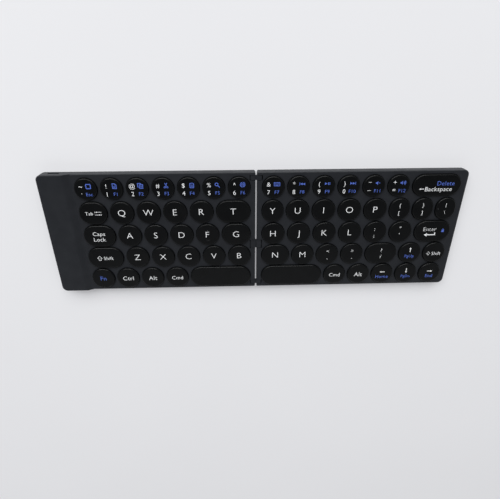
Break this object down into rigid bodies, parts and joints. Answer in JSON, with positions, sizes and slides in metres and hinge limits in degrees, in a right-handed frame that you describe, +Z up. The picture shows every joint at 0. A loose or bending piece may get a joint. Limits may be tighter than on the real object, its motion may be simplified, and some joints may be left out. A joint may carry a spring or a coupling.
{
  "type": "folding keyboard",
  "caption": "Pocket keyboard in two halves with round sprung keys, closing like a book on links with two parallel axes, with battery and charging port in one end.",
  "frame": {"origin": "under the middle of the open keyboard, on the surface that its feet stand on", "axes": "+X from the left end to the right end, +Y from the user to the rear, +Z up"},
  "size_m": [0.2494, 0.077, 0.0079],
  "materials": {
    "housing": "fine moulded texture, satin",
    "cover": "fine moulded texture",
    "keycap": "smooth matte with printed legends",
    "steel": "plain rolled",
    "membrane": "translucent film",
    "silicone": "soft translucent",
    "scissor": "moulded",
    "cell": "laminated foil pouch",
    "board": "solder mask",
    "link": "dark anodised",
    "polyimide": "amber film",
    "black_screw": "black zinc",
    "foot": "matte",
    "magnet": "nickel plated"
  },
  "bodies": {
    "left_half": {"top_housing_left": "housing", "bottom_cover_left": "cover", "key_plate_left": "steel", "membrane_left": "membrane", "rubber_domes_left": "silicone", "scissor_arms_left": "scissor", "battery": "cell", "circuit_board": "board", "charge_port": "steel", "screws_left": "black_screw", "feet_left": "foot", "magnets_left": "magnet"},
    "link": {"hinge_links": "link", "hinge_pins": "steel", "flex_cable": "polyimide"},
    "right_half": {"top_housing_right": "housing", "bottom_cover_right": "cover", "key_plate_right": "steel", "membrane_right": "membrane", "rubber_domes_right": "silicone", "scissor_arms_right": "scissor", "screws_right": "black_screw", "feet_right": "foot", "magnets_right": "magnet"},
    "key_a": {"key_a": "keycap"},
    "key_b": {"key_b": "keycap"},
    "key_c": {"key_c": "keycap"},
    "key_d": {"key_d": "keycap"},
    "key_e": {"key_e": "keycap"},
    "key_f": {"key_f": "keycap"},
    "key_g": {"key_g": "keycap"},
    "key_q": {"key_q": "keycap"},
    "key_r": {"key_r": "keycap"},
    "key_s": {"key_s": "keycap"},
    "key_t": {"key_t": "keycap"},
    "key_v": {"key_v": "keycap"},
    "key_w": {"key_w": "keycap"},
    "key_x": {"key_x": "keycap"},
    "key_z": {"key_z": "keycap"},
    "space_left": {"space_left": "keycap"},
    "number_keys_left": {"number_keys_left": "keycap"},
    "modifier_keys_left": {"modifier_keys_left": "keycap"},
    "key_h": {"key_h": "keycap"},
    "key_i": {"key_i": "keycap"},
    "key_j": {"key_j": "keycap"},
    "key_k": {"key_k": "keycap"},
    "key_l": {"key_l": "keycap"},
    "key_m": {"key_m": "keycap"},
    "key_n": {"key_n": "keycap"},
    "key_o": {"key_o": "keycap"},
    "key_p": {"key_p": "keycap"},
    "key_u": {"key_u": "keycap"},
    "key_y": {"key_y": "keycap"},
    "space_right": {"space_right": "keycap"},
    "enter_key": {"enter_key": "keycap"},
    "backspace_key": {"backspace_key": "keycap"},
    "number_keys_right": {"number_keys_right": "keycap"},
    "modifier_keys_right": {"modifier_keys_right": "keycap"},
    "symbol_keys_right": {"symbol_keys_right": "keycap"},
    "arrow_keys": {"arrow_keys": "keycap"}
  },
  "joints": [
    {"name": "fold_link", "type": "hinge", "parent": "left_half", "child": "link", "pos_m": [-0.00275, 0, 0.0052], "axis": [0, -1, 0], "range_deg": [0, 90], "deforming": ["flex_cable"]},
    {"name": "fold_right", "type": "hinge", "parent": "link", "child": "right_half", "pos_m": [0.00275, 0, 0.0052], "axis": [0, -1, 0], "range_deg": [0, 90]},
    {"name": "press_a", "type": "slide", "parent": "left_half", "child": "key_a", "axis": [0, 0, -1], "range_m": [0, 0.0013], "stiffness_N_per_m": 380, "springref_m": -0.0003, "deforming": ["rubber_domes_left", "scissor_arms_left"]},
    {"name": "press_b", "type": "slide", "parent": "left_half", "child": "key_b", "axis": [0, 0, -1], "range_m": [0, 0.0013], "stiffness_N_per_m": 380, "springref_m": -0.0003, "deforming": ["rubber_domes_left", "scissor_arms_left"]},
    {"name": "press_c", "type": "slide", "parent": "left_half", "child": "key_c", "axis": [0, 0, -1], "range_m": [0, 0.0013], "stiffness_N_per_m": 380, "springref_m": -0.0003, "deforming": ["rubber_domes_left", "scissor_arms_left"]},
    {"name": "press_d", "type": "slide", "parent": "left_half", "child": "key_d", "axis": [0, 0, -1], "range_m": [0, 0.0013], "stiffness_N_per_m": 380, "springref_m": -0.0003, "deforming": ["rubber_domes_left", "scissor_arms_left"]},
    {"name": "press_e", "type": "slide", "parent": "left_half", "child": "key_e", "axis": [0, 0, -1], "range_m": [0, 0.0013], "stiffness_N_per_m": 380, "springref_m": -0.0003, "deforming": ["rubber_domes_left", "scissor_arms_left"]},
    {"name": "press_f", "type": "slide", "parent": "left_half", "child": "key_f", "axis": [0, 0, -1], "range_m": [0, 0.0013], "stiffness_N_per_m": 380, "springref_m": -0.0003, "deforming": ["rubber_domes_left", "scissor_arms_left"]},
    {"name": "press_g", "type": "slide", "parent": "left_half", "child": "key_g", "axis": [0, 0, -1], "range_m": [0, 0.0013], "stiffness_N_per_m": 380, "springref_m": -0.0003, "deforming": ["rubber_domes_left", "scissor_arms_left"]},
    {"name": "press_q", "type": "slide", "parent": "left_half", "child": "key_q", "axis": [0, 0, -1], "range_m": [0, 0.0013], "stiffness_N_per_m": 380, "springref_m": -0.0003, "deforming": ["rubber_domes_left", "scissor_arms_left"]},
    {"name": "press_r", "type": "slide", "parent": "left_half", "child": "key_r", "axis": [0, 0, -1], "range_m": [0, 0.0013], "stiffness_N_per_m": 380, "springref_m": -0.0003, "deforming": ["rubber_domes_left", "scissor_arms_left"]},
    {"name": "press_s", "type": "slide", "parent": "left_half", "child": "key_s", "axis": [0, 0, -1], "range_m": [0, 0.0013], "stiffness_N_per_m": 380, "springref_m": -0.0003, "deforming": ["rubber_domes_left", "scissor_arms_left"]},
    {"name": "press_t", "type": "slide", "parent": "left_half", "child": "key_t", "axis": [0, 0, -1], "range_m": [0, 0.0013], "stiffness_N_per_m": 380, "springref_m": -0.0003, "deforming": ["rubber_domes_left", "scissor_arms_left"]},
    {"name": "press_v", "type": "slide", "parent": "left_half", "child": "key_v", "axis": [0, 0, -1], "range_m": [0, 0.0013], "stiffness_N_per_m": 380, "springref_m": -0.0003, "deforming": ["rubber_domes_left", "scissor_arms_left"]},
    {"name": "press_w", "type": "slide", "parent": "left_half", "child": "key_w", "axis": [0, 0, -1], "range_m": [0, 0.0013], "stiffness_N_per_m": 380, "springref_m": -0.0003, "deforming": ["rubber_domes_left", "scissor_arms_left"]},
    {"name": "press_x", "type": "slide", "parent": "left_half", "child": "key_x", "axis": [0, 0, -1], "range_m": [0, 0.0013], "stiffness_N_per_m": 380, "springref_m": -0.0003, "deforming": ["rubber_domes_left", "scissor_arms_left"]},
    {"name": "press_z", "type": "slide", "parent": "left_half", "child": "key_z", "axis": [0, 0, -1], "range_m": [0, 0.0013], "stiffness_N_per_m": 380, "springref_m": -0.0003, "deforming": ["rubber_domes_left", "scissor_arms_left"]},
    {"name": "press_space_left", "type": "slide", "parent": "left_half", "child": "space_left", "axis": [0, 0, -1], "range_m": [0, 0.0013], "stiffness_N_per_m": 380, "springref_m": -0.0003, "deforming": ["rubber_domes_left", "scissor_arms_left"]},
    {"name": "press_number_keys_left", "type": "slide", "parent": "left_half", "child": "number_keys_left", "axis": [0, 0, -1], "range_m": [0, 0.0013], "stiffness_N_per_m": 2660, "springref_m": -0.0003, "deforming": ["rubber_domes_left", "scissor_arms_left"]},
    {"name": "press_modifier_keys_left", "type": "slide", "parent": "left_half", "child": "modifier_keys_left", "axis": [0, 0, -1], "range_m": [0, 0.0013], "stiffness_N_per_m": 2660, "springref_m": -0.0003, "deforming": ["rubber_domes_left", "scissor_arms_left"]},
    {"name": "press_h", "type": "slide", "parent": "right_half", "child": "key_h", "axis": [0, 0, -1], "range_m": [0, 0.0013], "stiffness_N_per_m": 380, "springref_m": -0.0003, "deforming": ["rubber_domes_right", "scissor_arms_right"]},
    {"name": "press_i", "type": "slide", "parent": "right_half", "child": "key_i", "axis": [0, 0, -1], "range_m": [0, 0.0013], "stiffness_N_per_m": 380, "springref_m": -0.0003, "deforming": ["rubber_domes_right", "scissor_arms_right"]},
    {"name": "press_j", "type": "slide", "parent": "right_half", "child": "key_j", "axis": [0, 0, -1], "range_m": [0, 0.0013], "stiffness_N_per_m": 380, "springref_m": -0.0003, "deforming": ["rubber_domes_right", "scissor_arms_right"]},
    {"name": "press_k", "type": "slide", "parent": "right_half", "child": "key_k", "axis": [0, 0, -1], "range_m": [0, 0.0013], "stiffness_N_per_m": 380, "springref_m": -0.0003, "deforming": ["rubber_domes_right", "scissor_arms_right"]},
    {"name": "press_l", "type": "slide", "parent": "right_half", "child": "key_l", "axis": [0, 0, -1], "range_m": [0, 0.0013], "stiffness_N_per_m": 380, "springref_m": -0.0003, "deforming": ["rubber_domes_right", "scissor_arms_right"]},
    {"name": "press_m", "type": "slide", "parent": "right_half", "child": "key_m", "axis": [0, 0, -1], "range_m": [0, 0.0013], "stiffness_N_per_m": 380, "springref_m": -0.0003, "deforming": ["rubber_domes_right", "scissor_arms_right"]},
    {"name": "press_n", "type": "slide", "parent": "right_half", "child": "key_n", "axis": [0, 0, -1], "range_m": [0, 0.0013], "stiffness_N_per_m": 380, "springref_m": -0.0003, "deforming": ["rubber_domes_right", "scissor_arms_right"]},
    {"name": "press_o", "type": "slide", "parent": "right_half", "child": "key_o", "axis": [0, 0, -1], "range_m": [0, 0.0013], "stiffness_N_per_m": 380, "springref_m": -0.0003, "deforming": ["rubber_domes_right", "scissor_arms_right"]},
    {"name": "press_p", "type": "slide", "parent": "right_half", "child": "key_p", "axis": [0, 0, -1], "range_m": [0, 0.0013], "stiffness_N_per_m": 380, "springref_m": -0.0003, "deforming": ["rubber_domes_right", "scissor_arms_right"]},
    {"name": "press_u", "type": "slide", "parent": "right_half", "child": "key_u", "axis": [0, 0, -1], "range_m": [0, 0.0013], "stiffness_N_per_m": 380, "springref_m": -0.0003, "deforming": ["rubber_domes_right", "scissor_arms_right"]},
    {"name": "press_y", "type": "slide", "parent": "right_half", "child": "key_y", "axis": [0, 0, -1], "range_m": [0, 0.0013], "stiffness_N_per_m": 380, "springref_m": -0.0003, "deforming": ["rubber_domes_right", "scissor_arms_right"]},
    {"name": "press_space_right", "type": "slide", "parent": "right_half", "child": "space_right", "axis": [0, 0, -1], "range_m": [0, 0.0013], "stiffness_N_per_m": 380, "springref_m": -0.0003, "deforming": ["rubber_domes_right", "scissor_arms_right"]},
    {"name": "press_enter_key", "type": "slide", "parent": "right_half", "child": "enter_key", "axis": [0, 0, -1], "range_m": [0, 0.0013], "stiffness_N_per_m": 380, "springref_m": -0.0003, "deforming": ["rubber_domes_right", "scissor_arms_right"]},
    {"name": "press_backspace_key", "type": "slide", "parent": "right_half", "child": "backspace_key", "axis": [0, 0, -1], "range_m": [0, 0.0013], "stiffness_N_per_m": 380, "springref_m": -0.0003, "deforming": ["rubber_domes_right", "scissor_arms_right"]},
    {"name": "press_number_keys_right", "type": "slide", "parent": "right_half", "child": "number_keys_right", "axis": [0, 0, -1], "range_m": [0, 0.0013], "stiffness_N_per_m": 2280, "springref_m": -0.0003, "deforming": ["rubber_domes_right", "scissor_arms_right"]},
    {"name": "press_modifier_keys_right", "type": "slide", "parent": "right_half", "child": "modifier_keys_right", "axis": [0, 0, -1], "range_m": [0, 0.0013], "stiffness_N_per_m": 1140, "springref_m": -0.0003, "deforming": ["rubber_domes_right", "scissor_arms_right"]},
    {"name": "press_symbol_keys_right", "type": "slide", "parent": "right_half", "child": "symbol_keys_right", "axis": [0, 0, -1], "range_m": [0, 0.0013], "stiffness_N_per_m": 3040, "springref_m": -0.0003, "deforming": ["rubber_domes_right", "scissor_arms_right"]},
    {"name": "press_arrow_keys", "type": "slide", "parent": "right_half", "child": "arrow_keys", "axis": [0, 0, -1], "range_m": [0, 0.0013], "stiffness_N_per_m": 1520, "springref_m": -0.0003, "deforming": ["rubber_domes_right", "scissor_arms_right"]}
  ]
}
